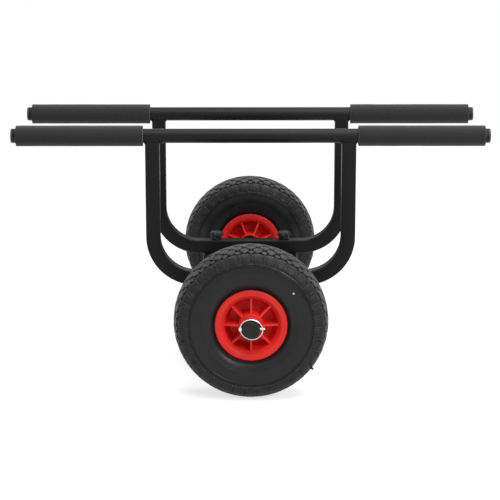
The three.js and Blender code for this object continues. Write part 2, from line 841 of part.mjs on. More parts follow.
function knobGeometry() {
  const head = new THREE.ExtrudeGeometry(knobOutline(), {
    depth: knobHeadHeight - 2 * knobEdge,
    bevelThickness: knobEdge,
    bevelSize: knobEdge,
    bevelOffset: -knobEdge,
    bevelSegments: 1,
  });
  head.translate(0, 0, knobHubHeight + knobEdge);
  const hubHeight = knobHubHeight + knobEdge;
  const hub = alongZ(rod(knobHubDiameter, hubHeight, roundSteps)).translate(0, 0, hubHeight / 2);
  const boreDepth = boltEngagement + knobBoreSlack;
  const bore = alongZ(rod(2 * boreRadius(boltDiameter, smallSteps), boreDepth + overrun, smallSteps));
  bore.translate(0, 0, (boreDepth - overrun) / 2);
  return cut(join(head, hub), bore);
}

// Assembly

const cart = new THREE.Group();

function addPart(parent, name, geometry, material) {
  const mesh = new THREE.Mesh(geometry, material);
  mesh.name = name;
  parent.add(mesh);
  return mesh;
}

function addWheel({ name, sign }) {
  const wheel = new THREE.Group();
  wheel.position.set(0, (sign * wheelSpacing) / 2, axleHeight);
  wheel.rotation.y = sign > 0 ? leftWheelTurn : 0;
  addPart(wheel, `wheel_rim_${name}`, rimGeometry(sign), redPlastic());
  const tyre = addPart(wheel, `tyre_${name}`, tyreGeometry(), blackRubber());
  tyre.rotation.y = -wheel.rotation.y; // so that a block's middle stands on the ground
  addPart(wheel, `inner_tube_${name}`, innerTubeGeometry(sign), blackRubber());
  addPart(wheel, `valve_stem_${name}`, valveStemGeometry(sign), brass());
  addPart(wheel, `valve_cap_${name}`, valveCapGeometry(sign), blackPlastic());
  const outer = addPart(wheel, `hub_bush_outer_${name}`, bushGeometry(), blackPlastic());
  const inner = addPart(wheel, `hub_bush_inner_${name}`, bushGeometry(), blackPlastic());
  outer.position.y = (sign * bossLength) / 2;
  outer.rotation.x = sign > 0 ? 0 : Math.PI;
  inner.position.y = (-sign * bossLength) / 2;
  inner.rotation.x = sign > 0 ? Math.PI : 0;
  cart.add(wheel);
}

function addAxle() {
  const axle = new THREE.Group();
  axle.position.z = axleHeight;
  addPart(axle, 'axle_tube', axleGeometry(), blackPaint());
  const bore = boreRadius(axleDiameter, roundSteps);
  for (const { name, sign } of sides) {
    const turn = sign > 0 ? 0 : Math.PI;
    const cap = addPart(axle, `axle_cap_${name}`, axleCapGeometry(), blackPlastic());
    cap.position.y = sign * axleTubeEnd;
    cap.rotation.x = turn;
    const collar = addPart(axle, `stop_collar_${name}`,
      washer(bore, collarDiameter / 2, collarThickness, roundSteps), blackPaint());
    collar.position.y = sign * (wheelSpacing / 2 - bushEnd - clearance - collarThickness);
    collar.rotation.x = turn;
    const spacer = addPart(axle, `axle_washer_${name}`,
      washer(bore, washerDiameter / 2, washerThickness, roundSteps), blackPlastic());
    spacer.position.y = sign * (wheelSpacing / 2 + bushEnd + clearance);
    spacer.rotation.x = turn;
    addLinchPin(axle, name, sign);
  }
  cart.add(axle);
}

function addLinchPin(axle, name, sign) {
  const pin = addPart(axle, `linch_pin_${name}`, linchPinGeometry(sign), zincSteel());
  pin.position.y = sign * pinY;
  const hinge = new THREE.Group();
  hinge.position.set(hingeX, sign * pinY, 0);
  hinge.rotation.x = -sign * ringLean;
  const springRing = addPart(hinge, `linch_ring_${name}`, ringGeometry(), zincSteel());
  springRing.rotation.z = sign * ringRestAngle();
  axle.add(hinge);
}

function addBase() {
  const base = new THREE.Group();
  for (const end of ends) {
    const x = (end.sign * railSpacing) / 2;
    const rail = addPart(base, `base_rail_${end.name}`, railGeometry(), blackPaint());
    rail.position.set(x, 0, railBottom + railHeight / 2);
    for (const side of sides) {
      const plug = addPart(base, `rail_plug_${end.name}_${side.name}`, railPlugGeometry(), blackPlastic());
      plug.position.set(x, side.sign * railEnd, railBottom + railHeight / 2);
      plug.rotation.x = side.sign > 0 ? 0 : Math.PI;
    }
  }
  for (const { name, sign } of sides) {
    const plate = addPart(base, `axle_plate_${name}`, axlePlateGeometry(), blackPaint());
    plate.position.set(0, sign * (railEnd - plateInset), axleHeight);
  }
  cart.add(base);
}

function addCradle({ name, sign }) {
  const cradle = new THREE.Group();
  cradle.position.y = (sign * barSpacing) / 2;
  addPart(cradle, `bent_frame_${name}`, frameGeometry(), blackPaint()).position.z = memberBottom;
  addPart(cradle, `bar_${name}`, barGeometry(), blackPaint()).position.z = barHeight;
  for (const end of ends) {
    const place = `${end.name}_${name}`;
    const sleeve = addPart(cradle, `foam_sleeve_${place}`, sleeveGeometry(), blackFoam());
    sleeve.position.set((end.sign * (sleeveOuterEnd + sleeveInnerEnd)) / 2, 0, barHeight);
    const cap = addPart(cradle, `bar_cap_${place}`, barCapGeometry(), blackPlastic());
    cap.position.set((end.sign * barTubeLength) / 2, 0, barHeight);
    cap.rotation.z = end.sign > 0 ? 0 : Math.PI;
    addClamp(cradle, place, (end.sign * railSpacing) / 2);
  }
  cart.add(cradle);
}

function addClamp(cradle, place, x) {
  const bolt = addPart(cradle, `clamp_bolt_${place}`, boltGeometry(), zincSteel());
  bolt.position.set(x, 0, railBottom - clearance);
  const seat = addPart(cradle, `knob_washer_${place}`, knobWasherGeometry(), zincSteel());
  seat.position.set(x, 0, memberTop + clearance);
  const knob = addPart(cradle, `star_knob_${place}`, knobGeometry(), blackPlastic());
  knob.position.set(x, 0, memberTop + 2 * clearance + knobWasherThickness);
}

addBase();
addAxle();
for (const side of sides) {
  addCradle(side);
  addWheel(side);
}

export default cart;
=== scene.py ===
from math import asin, atan2, copysign, cos, hypot, pi, radians, sin, sqrt, tan, tau

import bmesh
import bpy
from mathutils import Matrix, Vector, noise
from mathutils.geometry import delaunay_2d_cdt


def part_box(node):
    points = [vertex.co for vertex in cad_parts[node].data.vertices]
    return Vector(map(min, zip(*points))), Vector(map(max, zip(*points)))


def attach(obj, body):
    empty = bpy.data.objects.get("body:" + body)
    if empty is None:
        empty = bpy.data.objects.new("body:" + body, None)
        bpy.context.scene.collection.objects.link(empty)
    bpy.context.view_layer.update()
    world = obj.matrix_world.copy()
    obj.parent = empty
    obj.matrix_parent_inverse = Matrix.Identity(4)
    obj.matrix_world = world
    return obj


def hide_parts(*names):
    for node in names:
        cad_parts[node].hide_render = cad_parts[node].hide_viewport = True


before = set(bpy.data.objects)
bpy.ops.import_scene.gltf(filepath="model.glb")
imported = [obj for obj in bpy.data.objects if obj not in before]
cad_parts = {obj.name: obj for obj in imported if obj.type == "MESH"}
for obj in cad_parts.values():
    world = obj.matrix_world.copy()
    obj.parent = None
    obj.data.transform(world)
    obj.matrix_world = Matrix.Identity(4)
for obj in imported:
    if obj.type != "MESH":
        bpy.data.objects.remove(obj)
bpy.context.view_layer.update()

mm = 0.001
quarter_turn = pi / 2
tiny = 1e-6
merge_distance = 0.0005  # corners closer than this become one
cut_share = 0.49  # the most of a side's length that a corner's fillet takes
sides = (("left", 1), ("right", -1))
ends = (("front", 1), ("rear", -1))


def middle_of(node):
    """The middle of a CAD node's box, in millimetres."""
    low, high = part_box(node)
    return (low + high) / 2 / mm


def reach_of(node, axis):
    """The lowest and highest place of a CAD node along an axis, in millimetres."""
    low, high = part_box(node)
    return low[axis] / mm, high[axis] / mm


# Places that the frame gives
axle_height = middle_of("wheel_rim_right").z
wheel_y = middle_of("wheel_rim_left").y
bar_height = middle_of("bar_left").z
bar_y = middle_of("bar_left").y
bar_tube_end = reach_of("bar_left", 0)[1]
member_bottom = reach_of("bent_frame_left", 2)[0]
frame_half_width = reach_of("bent_frame_left", 0)[1]
rail_low, rail_high = reach_of("base_rail_front", 2)
rail_x = middle_of("base_rail_front").x
rail_end = reach_of("base_rail_front", 1)[1]
axle_end = reach_of("axle_tube", 1)[1]
collar_low, collar_high = reach_of("stop_collar_left", 1)
washer_low, washer_high = reach_of("axle_washer_left", 1)
pin_y = middle_of("linch_pin_left").y
plate_y = middle_of("axle_plate_left").y
knob_bottom = reach_of("star_knob_front_left", 2)[0]
knob_washer_low, knob_washer_high = reach_of("knob_washer_front_left", 2)
bolt_low, bolt_high = reach_of("clamp_bolt_front_left", 2)

# Sizes that the frame doesn't give
clearance = 0.3
square_tube = 25.0
square_wall = 2.0
bend_radius = 87.5
bar_diameter = 25.0
bar_wall = 1.5
axle_diameter = 30.0
axle_wall = 2.5
axle_bore = axle_diameter / 2 + clearance
rail_width = 50.0
rail_wall = 2.0
bolt_diameter = 8.0
weld_drop = 6.3
tyre_radius = 130.0
tread_pitches = 35
pitch = tau * tyre_radius / tread_pitches
half_pitch = pitch / 2
rib_gap = 3.2


# Forms, each as (vertices, faces) in millimetres

def joined(*forms):
    verts, faces = [], []
    for more_verts, more_faces in forms:
        base = len(verts)
        verts.extend(more_verts)
        faces.extend([tuple(base + i for i in face) for face in more_faces])
    return verts, faces


def placed(form, matrix):
    verts, faces = form
    return [matrix @ Vector(v) for v in verts], faces


def moved(form, x=0.0, y=0.0, z=0.0):
    return placed(form, Matrix.Translation((x, y, z)))


def turned(form, axis, angle):
    return placed(form, Matrix.Rotation(angle, 4, axis))


def upright(form):
    """Turns a form round Y to stand along Z."""
    return turned(form, "X", quarter_turn)


def skin(rings, loop=False, caps=True):
    """Walls between rings of equal count, with both ends closed unless it is a loop."""
    count = len(rings[0])
    verts = [v for ring in rings for v in ring]
    faces = []
    for i in range(len(rings) if loop else len(rings) - 1):
        one, two = i * count, ((i + 1) % len(rings)) * count
        for k in range(count):
            n = (k + 1) % count
            faces.append((one + k, one + n, two + n, two + k))
    if caps and not loop:
        faces.append(tuple(range(count))[::-1])
        faces.append(tuple(range(len(verts) - count, len(verts))))
    return verts, faces


def arc(radius, first, last, steps):
    """Points (x, y) from one angle to another, with both ends."""
    turns = [first + (last - first) * k / steps for k in range(steps + 1)]
    return [(radius * cos(a), radius * sin(a)) for a in turns]


def circle(radius, steps):
    return arc(radius, 0, tau, steps)[:-1]


def round_y(radius, angle, y):
    """A place at a radius and an angle round Y, from the top."""
    return radius * sin(angle), y, radius * cos(angle)


def ring_round_y(radius, y, steps, turn=0.0):
    return [round_y(radius, tau * k / steps + turn, y) for k in range(steps)]


def lathe(profile, steps):
    """A form round Y through (radius, y) points, whose ends lie on the axis or meet."""
    verts, faces, starts = [], [], []
    for radius, y in profile:
        starts.append(len(verts))
        verts.extend([(0.0, y, 0.0)] if radius < tiny else ring_round_y(radius, y, steps))
    pairs = [(i, i + 1) for i in range(len(profile) - 1)]
    if profile[0][0] > tiny:
        pairs.append((len(profile) - 1, 0))
    for one, two in pairs:
        a, b = starts[one], starts[two]
        for k in range(steps):
            n = (k + 1) % steps
            if profile[one][0] < tiny:
                faces.append((a, b + k, b + n))
            elif profile[two][0] < tiny:
                faces.append((a + k, b, a + n))
            else:
                faces.append((a + k, b + k, b + n, a + n))
    return verts, faces


def filleted(points, steps=5, closed=True):
    """Rounds the corners of an outline of (x, y) or (x, y, fillet radius) points."""
    rounded = []
    for i, point in enumerate(points):
        here = Vector(point[:2])
        fillet = point[2] if len(point) > 2 else 0
        if not fillet or (not closed and i in (0, len(points) - 1)):
            rounded.append(tuple(here))
            continue
        back = Vector(points[i - 1][:2]) - here
        ahead = Vector(points[(i + 1) % len(points)][:2]) - here
        half = back.angle(ahead) / 2
        cut = min(fillet / tan(half), cut_share * back.length, cut_share * ahead.length)
        middle = here + (back.normalized() + ahead.normalized()).normalized() * (cut / cos(half))
        start = here + back.normalized() * cut - middle
        end = here + ahead.normalized() * cut - middle
        first = atan2(start.y, start.x)
        swing = (atan2(end.y, end.x) - first + pi) % tau - pi
        for x, y in arc(start.length, first, first + swing, steps):
            rounded.append((middle.x + x, middle.y + y))
    return rounded


def rounded_square(width, height, corner, steps=5):
    x, y = width / 2, height / 2
    return filleted([(x, -y, corner), (x, y, corner), (-x, y, corner), (-x, -y, corner)], steps)


def prism(outline, low, high):
    """An outline in X and Y, raised from low to high along Z."""
    return skin([[(x, y, low) for x, y in outline], [(x, y, high) for x, y in outline]])


def rod(diameter, low, high, steps=48):
    return prism(circle(diameter / 2, steps), low, high)


def mesh_of(form, name, scale=1.0):
    mesh = bpy.data.meshes.new(name)
    mesh.from_pydata([Vector(v) * scale for v in form[0]], [], form[1])
    shape = bmesh.new()
    shape.from_mesh(mesh)
    bmesh.ops.remove_doubles(shape, verts=shape.verts, dist=merge_distance * scale)
    bmesh.ops.recalc_face_normals(shape, faces=shape.faces)
    shape.to_mesh(mesh)
    shape.free()
    return mesh


def in_scene(name, data):
    obj = bpy.data.objects.new(name, data)
    bpy.context.scene.collection.objects.link(obj)
    return obj


def with_modifier(form, kind, **settings):
    """The form after one modifier, worked out on a scratch object that is then removed."""
    obj = in_scene("scratch", mesh_of(form, "scratch"))
    modifier = obj.modifiers.new("m", kind)
    for name, value in settings.items():
        setattr(modifier, name, value)
    result = obj.evaluated_get(bpy.context.evaluated_depsgraph_get()).to_mesh()
    verts = [v.co.copy() for v in result.vertices]
    faces = [tuple(p.vertices) for p in result.polygons]
    bpy.data.objects.remove(obj)
    return verts, faces


def combined(form, tools, operation):
    """Joins a form with others, or cuts them from it."""
    for tool in tools:
        other = in_scene("tool", mesh_of(tool, "tool"))
        form = with_modifier(form, "BOOLEAN", operation=operation, solver="EXACT", object=other)
        bpy.data.objects.remove(other)
    return form


def softened(form, width, segments, angle):
    """Rounds the edges that turn by more than an angle in degrees."""
    return with_modifier(form, "BEVEL", width=width, segments=segments, limit_method="ANGLE",
                         angle_limit=radians(angle))


def piece(kind, place, form, at, body, look, node, sharp=38):
    """A finished piece in the scene, riding on its body instead of its CAD node."""
    ending = f"_{place}" if place else ""
    name = kind + ending
    mesh = mesh_of(moved(form, *at), name, mm)
    mesh.polygons.foreach_set("use_smooth", [True] * len(mesh.polygons))
    mesh.set_sharp_from_angle(angle=radians(sharp))
    slot, material = look
    mesh.materials.append(material)
    obj = in_scene(name, mesh)
    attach(obj, body)
    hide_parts(node + ending)
    return obj


# Materials

class Nodes:
    """The node tree of a material or of the world."""

    def __init__(self, owner):
        owner.use_nodes = True
        self.nodes = owner.node_tree.nodes
        self.links = owner.node_tree.links

    def set(self, node, socket, value):
        if isinstance(value, bpy.types.NodeSocket):
            self.links.new(value, node.inputs[socket])
        elif isinstance(value, tuple) and len(value) == 3 and node.inputs[socket].type == "RGBA":
            node.inputs[socket].default_value = (*value, 1)
        else:
            node.inputs[socket].default_value = value

    def node(self, kind, output, sockets, **settings):
        made = self.nodes.new(kind)
        for name, value in settings.items():
            setattr(made, name, value)
        for socket, value in sockets.items():
            self.set(made, socket, value)
        return made.outputs[output]

    def fade(self, value, low, high, to_low=0.0, to_high=1.0):
        sockets = {"Value": value, "From Min": low, "From Max": high, "To Min": to_low, "To Max": to_high}
        return self.node("ShaderNodeMapRange", 0, sockets)

    def maths(self, operation, one, two=0.0):
        return self.node("ShaderNodeMath", 0, {0: one, 1: two}, operation=operation)

    def vector_maths(self, operation, one, two=(0, 0, 0), output=0):
        return self.node("ShaderNodeVectorMath", output, {0: one, 1: two}, operation=operation)

    def along(self, place, axis):
        return self.node("ShaderNodeSeparateXYZ", axis, {0: place})

    def product(self, first, *others):
        for other in others:
            first = self.maths("MULTIPLY", first, other)
        return first

    def seen_directly(self):
        """One for a ray from the camera, or from gloss or glass, and zero for the light on a surface."""
        kinds = ("Camera", "Glossy", "Transmission")
        camera, gloss, glass = (self.node("ShaderNodeLightPath", f"Is {kind} Ray", {}) for kind in kinds)
        return self.maths("MAXIMUM", self.maths("MAXIMUM", camera, gloss), glass)


class Finish(Nodes):
    """A material on one shader, with patterns in the piece's own frame, in metres."""

    def __init__(self, name, **sockets):
        self.material = bpy.data.materials.new(name)
        super().__init__(self.material)
        self.shader = self.nodes["Principled BSDF"]
        for socket, value in sockets.items():
            self.set(self.shader, socket.replace("_", " "), value)
        self.place = self.node("ShaderNodeTexCoord", "Object", {})
        self.relief = None

    def noise(self, scale, detail=3.0, roughness=0.5, stretch=None, distortion=0.0):
        place = self.place
        if stretch:
            place = self.node("ShaderNodeMapping", 0, {"Vector": place, "Scale": stretch})
        sockets = {"Vector": place, "Scale": scale, "Detail": detail, "Roughness": roughness,
                   "Distortion": distortion}
        return self.node("ShaderNodeTexNoise", 0, sockets)

    def cells(self, scale):
        return self.node("ShaderNodeTexVoronoi", "Distance", {"Vector": self.place, "Scale": scale})

    def blend(self, factor, one, two):
        return self.node("ShaderNodeMix", 2, {0: factor, 6: one, 7: two}, data_type="RGBA")

    def coloured(self, pattern, dark, light, *marks, low=0.3):
        """Mottles between two colours and lays marks over them: (where, how much of it, colour)."""
        colour = self.blend(self.fade(pattern, low, 0.7), dark, light)
        for where, share, over in marks:
            colour = self.blend(self.product(where, share), colour, over)
        self.set(self.shader, "Base Color", colour)

    def rough(self, value):
        self.set(self.shader, "Roughness", value)

    def rough_between(self, pattern, low, high):
        self.rough(self.fade(pattern, 0.3, 0.7, low, high))

    def bump(self, height, distance, strength=1.0):
        sockets = {"Height": height, "Distance": distance, "Strength": strength}
        if self.relief:
            sockets["Normal"] = self.relief
        self.relief = self.node("ShaderNodeBump", 0, sockets)
        self.set(self.shader, "Normal", self.relief)


black_paint = ((0.0074, 0.0074, 0.0079), (0.0102, 0.0102, 0.0108))  # dark and light


def powder_coat():
    finish = Finish("black_powder_coat", IOR=1.5, Specular_IOR_Level=0.13)
    scuffs = finish.fade(finish.noise(60, 6, 0.7, (1, 1, 0.25)), 0.62, 0.78)
    finish.coloured(finish.noise(9, 4), *black_paint, (scuffs, 0.35, (0.028, 0.028, 0.029)))
    finish.rough_between(finish.noise(140, 4), 0.33, 0.46)
    finish.bump(finish.noise(780, 2), 0.00012, 0.35)
    return finish.material


def bar_paint():
    finish = Finish("black_bar_paint", IOR=1.5, Specular_IOR_Level=0.16)
    drawn = finish.fade(finish.noise(900, 2, 0.5, (0.03, 1, 1)), 0.45, 0.75)
    finish.coloured(finish.noise(7, 4), *black_paint, (drawn, 0.12, (0.03, 0.03, 0.032)))
    finish.rough_between(finish.noise(90, 4, 0.5, (0.2, 1, 1)), 0.32, 0.42)
    finish.bump(finish.noise(620, 2), 0.0001, 0.3)
    return finish.material


def closed_cell_foam():
    finish = Finish("closed_cell_foam", IOR=1.4, Specular_IOR_Level=0.12, Sheen_Weight=0.36,
                    Sheen_Roughness=0.55)
    clouds = finish.noise(26, 5, 0.6)
    specks = finish.fade(finish.noise(1700, 2, 0.6), 0.4, 0.72)
    finish.coloured(clouds, (0.0120, 0.0120, 0.0124), (0.0175, 0.0175, 0.0179),
                    (specks, 0.5, (0.044, 0.044, 0.0445)))
    finish.rough_between(clouds, 0.72, 0.86)
    finish.bump(finish.noise(210, 3), 0.00025, 0.35)
    finish.bump(finish.cells(1500), 0.00022, 0.6)
    return finish.material


# In metres, like all places in a material. With y as the distance from the tyre's middle plane,
# radius + crown_rounding * y ** 3 is nearly the same on the tops of all blocks.
crown_rounding = 210.0
dot_radius = 0.0905


def rib_painted_highlight(finish, flat, radius):
    """One along the tread's shoulder ribs, which it paints paler as a highlight, and zero away from them.
    """
    angle = finish.maths("ARCTAN2", finish.along(flat, 0), finish.along(flat, 2))
    pitches = finish.product(angle, tread_pitches / tau)
    from_middle = finish.product(finish.maths("PINGPONG", pitches, 0.5), pitch)
    from_side = finish.maths("ABSOLUTE", finish.maths("SUBTRACT", from_middle, rib_gap))
    near_one, near_other = (finish.fade(gap, 0.5, 0.9, 1, 0) for gap in (from_middle, from_side))
    on_ribs = finish.maths("MAXIMUM", near_one, near_other)
    on_shoulder = finish.product(finish.fade(radius, 0.1045, 0.1065),
                                 finish.fade(radius, 0.1195, 0.121, 1, 0))
    return finish.product(on_ribs, on_shoulder, finish.fade(finish.noise(90, 3), 0.3, 0.6))


def block_top_painted_light(finish, radius, across):
    """One on the tops of the blocks, painted paler as light on them, and zero in the grooves between them.
    """
    rounding = finish.product(finish.maths("POWER", finish.maths("ABSOLUTE", across), 3.0), crown_rounding)
    on_top = finish.fade(finish.maths("ADD", radius, rounding), 0.1272, 0.1292)
    on_crown = finish.fade(radius, 0.1195, 0.124)
    return finish.product(on_top, on_crown, finish.fade(finish.noise(240, 4), 0.3, 0.62))


def balance_dot(finish, side, flat, across):
    """One inside the small painted dot on the tyre's outer side."""
    angle = radians(39.0 if side == "right" else 215)
    dot = Vector((dot_radius * cos(angle), 0, dot_radius * sin(angle)))
    reach = finish.vector_maths("DISTANCE", flat, dot, "Value")
    facing = finish.maths("GREATER_THAN" if side == "left" else "LESS_THAN", across, 0.0)
    return finish.product(finish.fade(reach, 0.0013, 0.0016, 1, 0), facing)


def tyre_rubber(side):
    """Black rubber, with painted highlights paling the ribs and block tops, and smoother on the side wall.
    """
    finish = Finish(f"tyre_rubber_{side}", IOR=1.5, Specular_IOR_Level=0.24)
    hub = (0.0, middle_of(f"wheel_rim_{side}").y * mm, axle_height * mm)
    spoke = finish.vector_maths("SUBTRACT", finish.place, hub)
    flat = finish.vector_maths("MULTIPLY", spoke, (1, 0, 1))
    radius = finish.vector_maths("LENGTH", flat, output="Value")
    across = finish.along(spoke, 1)
    clouds = finish.noise(38, 5, 0.6)
    finish.coloured(
        clouds, (0.0090, 0.0089, 0.0102), (0.0125, 0.0124, 0.0138),
        # painted highlight: a paler colour on the shoulder ribs, where they would catch the light
        (rib_painted_highlight(finish, flat, radius), 0.6, (0.075, 0.075, 0.077)),
        # painted light: a paler colour on the block tops, set against the darker grooves
        (block_top_painted_light(finish, radius, across), 0.8, (0.081, 0.081, 0.083)),
        (balance_dot(finish, side, flat, across), 1.0, (0.85, 0.85, 0.83)),
        low=0.32)
    polished = finish.maths("ADD", finish.fade(radius, 0.085, 0.1, 0.34, 0.27),
                            finish.fade(radius, 0.1115, 0.1145, 0.0, 0.18))
    finish.rough(finish.maths("ADD", finish.fade(clouds, 0.3, 0.7, -0.03, 0.04), polished))
    finish.bump(finish.noise(900, 3), 0.00005, 0.3)
    finish.bump(finish.noise(55, 4, 0.6), 0.0003, 0.25)
    return finish.material


def moulded(name, dark, light, low_rough, high_rough, grain=1300, depth=0.00006, **sockets):
    finish = Finish(name, IOR=1.48, **sockets)
    finish.coloured(finish.noise(24, 4), dark, light)
    finish.rough_between(finish.noise(110, 4), low_rough, high_rough)
    finish.bump(finish.noise(grain, 2), depth, 0.4)
    return finish.material


def red_plastic():
    finish = Finish("red_moulded_plastic", IOR=1.46, Specular_IOR_Level=0.3, Subsurface_Weight=0.03,
                    Subsurface_Radius=(0.004, 0.001, 0.0008), Subsurface_Scale=0.5)
    flow = finish.fade(finish.noise(70, 3, 0.5, (1, 0.3, 1), 0.6), 0.5, 0.75)
    finish.coloured(finish.noise(18, 4), (0.78, 0.024, 0.019), (0.84, 0.031, 0.025),
                    (flow, 0.3, (0.88, 0.045, 0.036)))
    finish.rough_between(finish.noise(130, 4), 0.34, 0.44)
    finish.bump(finish.noise(420, 2), 0.00006, 0.4)
    return finish.material


def plated(name, dark, light, low_rough, high_rough):
    finish = Finish(name, Metallic=1.0)
    finish.coloured(finish.noise(160, 4, 0.6), dark, light, low=0.35)
    finish.rough_between(finish.noise(320, 4), low_rough, high_rough)
    finish.bump(finish.noise(1500, 2), 0.00003, 0.3)
    return finish.material


# Each look is a slot and the material shown in it
paint = ("frame_paint", powder_coat())
tube_paint = ("frame_paint", bar_paint())
foam = ("foam", closed_cell_foam())
red = ("red_plastic", red_plastic())
cap_plastic = ("black_plastic", moulded(
    "black_cap_plastic", (0.018, 0.018, 0.018), (0.026, 0.026, 0.026), 0.4, 0.52))
axle_cap_plastic = ("black_plastic", moulded(
    "grey_black_cap_plastic", (0.020, 0.0195, 0.0185), (0.025, 0.0245, 0.0235), 0.66, 0.78,
    Specular_IOR_Level=0.2))
knob_plastic = ("knob_plastic", moulded(
    "black_knob_plastic", (0.008, 0.008, 0.0085), (0.012, 0.012, 0.0125), 0.3, 0.4,
    grain=700, depth=0.00008, Specular_IOR_Level=0.3))
tube_rubber = ("tube_rubber", moulded(
    "inner_tube_rubber", (0.012, 0.012, 0.012), (0.019, 0.019, 0.019), 0.55, 0.68))
zinc = ("zinc", plated("bright_zinc", (0.62, 0.59, 0.59), (0.76, 0.72, 0.71), 0.26, 0.38))
dull_zinc = ("zinc", plated("dull_zinc", (0.16, 0.16, 0.165), (0.24, 0.24, 0.245), 0.45, 0.6))
brass = ("brass", plated("plain_brass", (0.62, 0.48, 0.22), (0.74, 0.59, 0.30), 0.24, 0.36))


# Tyre

row_gap = 11.5
tread_end = 52.0
crown_depth = 3.6
shoulder_depth = 1.1
shoulder_start, shoulder_slope = 31.5, 2.0
block_size = (8.5, 8.0, 1.4)  # half width, half length, power
block_crown = ((0.78, 0.0), (0.93, 0.3), (1.0, 1.0))  # shares of a block's size and depths there
block_foot_share = 1.06
bar_edge, bar_edge_drop = 0.35, 0.25
grid_apart, grid_inside, grid_outside = 1.1, 1.9, 0.6  # from points and edges of the relief
on_line = 1e-5  # points closer to a line than this lie on it
vent_root = 0.6
nub_across, nub_angle, nub_thickness, nub_reach = 28.0, radians(126.5), 4.4, 4.2
hair_across, hair_angle, hair_thickness, hair_reach = 34.0, radians(124), 1.1, 2.0

# Blocks in a quarter of the tread's repeat: (place round, place across, half width, half length, power)
tread_blocks = [
    (half_pitch, 0.0, *block_size),
    (0.0, row_gap, *block_size),
    (half_pitch, 2 * row_gap, *block_size),
    (0.0, 29.6, 5.3, 3.7, 1.5),
]
# Bars on the shoulder there: (place round, place across, width, length, corner, depth of the top)
shoulder_bars = [
    (half_pitch, 41.8, 11.0, 17.8, 1.3, 0.7),
    (0.0, 42.2, 1.3, 15.4, 0.45, 0.0),
    (rib_gap, 42.2, 1.3, 15.4, 0.45, 0.1),
]

# The tyre's outside from crown to bead: (distance from the middle plane, radius)
section_points = [
    (0, tyre_radius), (10.2, 129.75), (23.8, 127.1), (31.2, 123.9), (36.2, 119.2), (39.8, 112),
    (42.0, 102.6), (43.2, 91), (42.6, 80), (40.3, 72.3), (37.4, 66.6), (34.6, 63.4), (31.6, 61.9),
]
# Steps of the plain side wall: (distance along the outside, depth below it)
wall_steps = [
    (tread_end, shoulder_depth), (52.3, 0.45), (53.1, 0.1), (53.9, 0.0), (54.2, 0.35), (54.7, 1.45),
    (55.4, 1.4), (55.9, 1.0), (56.5, 0.9), (57.0, 1.0), (57.3, 1.5), (57.8, 1.5), (58.2, 1.0), (58.8, 0.95),
    (59.3, 1.3), (63, 1.1), (67, 1.0), (71, 0.9), (75, 0.85), (78.6, 0.8), (79.1, 0.6), (79.8, 0.6),
    (80.3, 0.8), (83, 0.8), (86, 0.75), (88, 0.7), (90, 0.7), (92, 0.75), (94, 0.85), (95.6, 1.0),
    (97.2, 1.3),
]


def smooth_curve(points, steps):
    """A smooth curve through the points, mirrored at its start so that it leaves it square."""
    row = [Vector(p) for p in points]
    row = [Vector((-row[1].x, row[1].y)), *row, 2 * row[-1] - row[-2]]
    curve = []
    for a, b, c, d in zip(row, row[1:], row[2:], row[3:]):
        for k in range(steps):
            t = k / steps
            curve.append(0.5 * (2 * b + (c - a) * t + (2 * a - 5 * b + 4 * c - d) * t ** 2
                                + (3 * b - a - 3 * c + d) * t ** 3))
    curve.append(row[-2])
    return curve


section = smooth_curve(section_points, 24)
section_lengths = [0.0]  # along the outside from the crown to each point of the section
for one, two in zip(section, section[1:]):
    section_lengths.append(section_lengths[-1] + (two - one).length)


def on_tyre(w, depth):
    """(y, radius) at a distance w along the outside from the crown, that deep below it."""
    far = min(abs(w), section_lengths[-1] - 0.001)
    i = max(k for k, length in enumerate(section_lengths[:-1]) if length <= far)
    share = (far - section_lengths[i]) / (section_lengths[i + 1] - section_lengths[i])
    point = section[i].lerp(section[i + 1], share)
    before = section[max(i - 1, 0)]
    along = (section[min(i + 2, len(section) - 1)] - before).normalized()
    if i == 0 and share < tiny:
        along = Vector((1, 0))
    inward = Vector((along.y, -along.x))
    place = point + inward * depth
    return copysign(place.x, w) if w else 0.0, place.y


def floor_depth(w):
    share = min(max((abs(w) - shoulder_start) / shoulder_slope, 0), 1)
    return crown_depth + (shoulder_depth - crown_depth) * share


def block_outline(block, share):
    """A rounded diamond, with a point on each of its tips."""
    middle_u, middle_w, half_width, half_length, power = block
    outline = []
    for across, up in circle(1.0, 32):
        u = share * half_width * copysign(abs(across) ** (2 / power), across)
        w = share * half_length * copysign(abs(up) ** (2 / power), up)
        outline.append((middle_u + u, middle_w + w))
    return outline


def bar_outline(bar, grow):
    """A rounded rectangle, with points along its sides that let it follow the shoulder's curve."""
    middle_u, middle_w, width, length, corner, _ = bar
    x, y, fillet = width / 2 + grow, length / 2 + grow, corner + grow
    rows = 10
    rise = [(2 * k / rows - 1) * (y - 1.2 * fillet) for k in range(rows + 1)]
    half = [(0, -y), (x, -y, fillet), *((x, w) for w in rise), (x, y, fillet)]
    outline = half + [(-u, -w, *rounding) for u, w, *rounding in half]
    return [(middle_u + u, middle_w + w) for u, w in filleted(outline, 3)]


def within_cell(outline):
    """The stretch of a closed outline that lies in the quarter cell, and whether it is all of it."""
    kept = [-tiny < u < half_pitch + tiny and w > -tiny for u, w in outline]
    if all(kept):
        return outline, True
    start = next(k for k in range(len(outline)) if kept[k] and not kept[k - 1])
    return [outline[(start + k) % len(outline)] for k in range(sum(kept))], False


def nearest_relief(u, w):
    """How far a place lies outside the nearest block or bar, less than zero on it, and its top's depth."""
    gaps = []
    for middle_u, middle_w, half_width, half_length, power in tread_blocks:
        size = (abs(u - middle_u) / half_width) ** power + (abs(w - middle_w) / half_length) ** power
        gaps.append(((size ** (1 / power) - 1) * min(half_width, half_length), 0.0))
    for middle_u, middle_w, width, length, _, top in shoulder_bars:
        gaps.append((max(abs(u - middle_u) - width / 2, abs(w - middle_w) - length / 2), top))
    return min(gaps)


